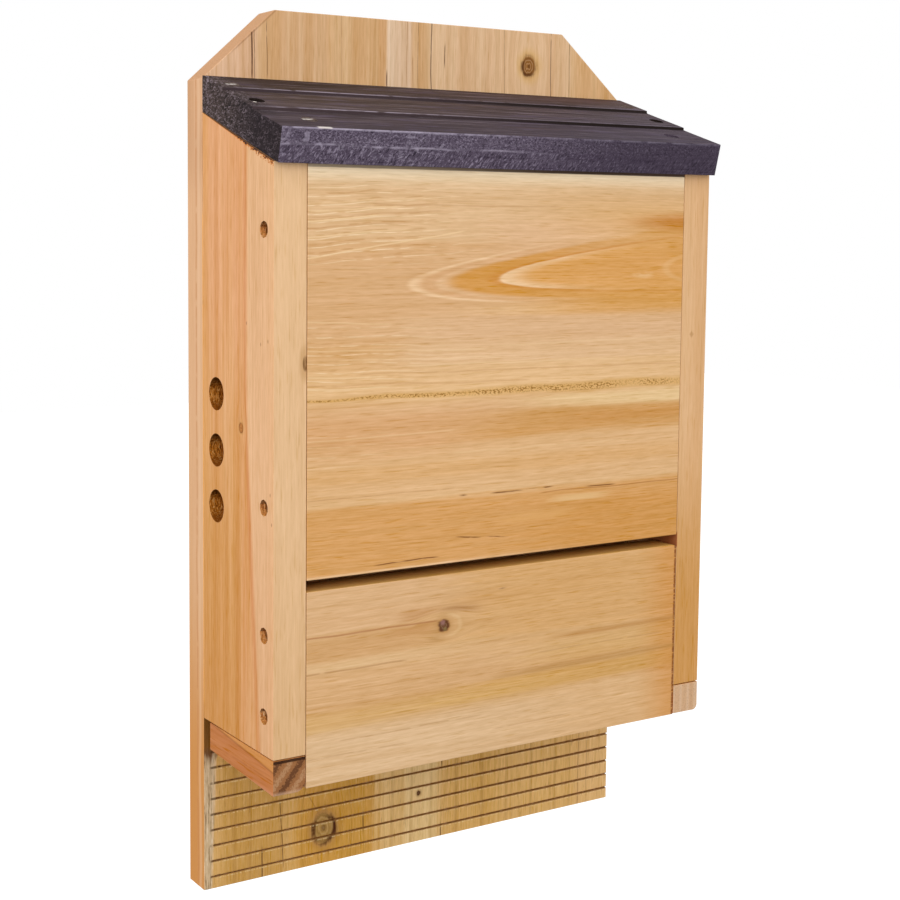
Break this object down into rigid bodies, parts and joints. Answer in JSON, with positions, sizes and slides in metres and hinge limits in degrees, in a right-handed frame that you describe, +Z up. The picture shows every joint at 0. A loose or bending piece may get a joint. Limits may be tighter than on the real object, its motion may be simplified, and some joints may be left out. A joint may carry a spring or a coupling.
{
  "type": "bat box",
  "caption": "Wall-hung wooden bat box with a stained sloping roof, open bottom, kerfed landing board, front vent slot and round side vents.",
  "frame": {"origin": "middle of the backboard's rear face, the face that lies on the wall", "axes": "+X to the right as seen from the front, +Y back into the wall, +Z up the backboard"},
  "size_m": [0.29, 0.1109, 0.491],
  "materials": {
    "bare_wood": "bare sawn and planed softwood, lightly sanded, oil-free",
    "rail_wood": "bare rough-sawn softwood with dark weathered end grain",
    "stained_wood": "sawn softwood with a thin purple-grey stain, worn at the edges",
    "screw_steel": "bronze-coated steel wood screws"
  },
  "bodies": {
    "root": {"backboard": "bare_wood", "side_panel_left": "bare_wood", "side_panel_right": "bare_wood", "front_panel_upper": "bare_wood", "front_panel_lower": "bare_wood", "partition_board": "bare_wood", "bottom_rail_left": "rail_wood", "bottom_rail_right": "rail_wood", "roof_board": "stained_wood", "side_screw_left_1": "screw_steel", "side_screw_left_2": "screw_steel", "side_screw_left_3": "screw_steel", "side_screw_left_4": "screw_steel", "roof_screw_left_rear": "screw_steel", "roof_screw_left_middle": "screw_steel", "roof_screw_left_front": "screw_steel", "back_screw_left_low": "screw_steel", "back_screw_left_middle": "screw_steel", "back_screw_left_high": "screw_steel", "rail_screw_left_rear": "screw_steel", "rail_screw_left_front": "screw_steel", "side_screw_right_1": "screw_steel", "side_screw_right_2": "screw_steel", "side_screw_right_3": "screw_steel", "side_screw_right_4": "screw_steel", "roof_screw_right_rear": "screw_steel", "roof_screw_right_middle": "screw_steel", "roof_screw_right_front": "screw_steel", "back_screw_right_low": "screw_steel", "back_screw_right_middle": "screw_steel", "back_screw_right_high": "screw_steel", "rail_screw_right_rear": "screw_steel", "rail_screw_right_front": "screw_steel"}
  },
  "joints": []
}
